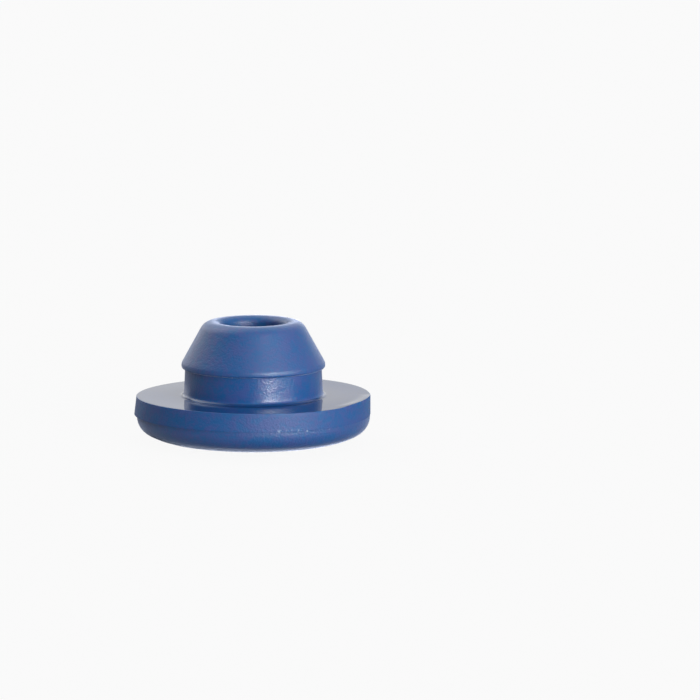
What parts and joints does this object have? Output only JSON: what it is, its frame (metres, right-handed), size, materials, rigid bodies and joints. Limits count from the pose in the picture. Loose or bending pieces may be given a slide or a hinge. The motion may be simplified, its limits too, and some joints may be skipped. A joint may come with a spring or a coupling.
{
  "type": "serum vial stopper",
  "caption": "Moulded rubber stopper for a narrow serum vial: flat flange, short neck with a sealing lip and a tapered hollow plug, and a raised target ring on the outer face.",
  "frame": {"origin": "on the stopper's axis, in the plane on which the target ring's crest stands", "axes": "+Z along the axis, from the outer face towards the plug's nose; +X and +Y across the flange, with the cut band's wider side towards -X"},
  "size_m": [0.0125, 0.0124, 0.0064],
  "materials": {
    "rubber": "satin blue moulded rubber, its sealing face smooth and glossy"
  },
  "bodies": {
    "root": {"stopper": "rubber"}
  },
  "joints": []
}
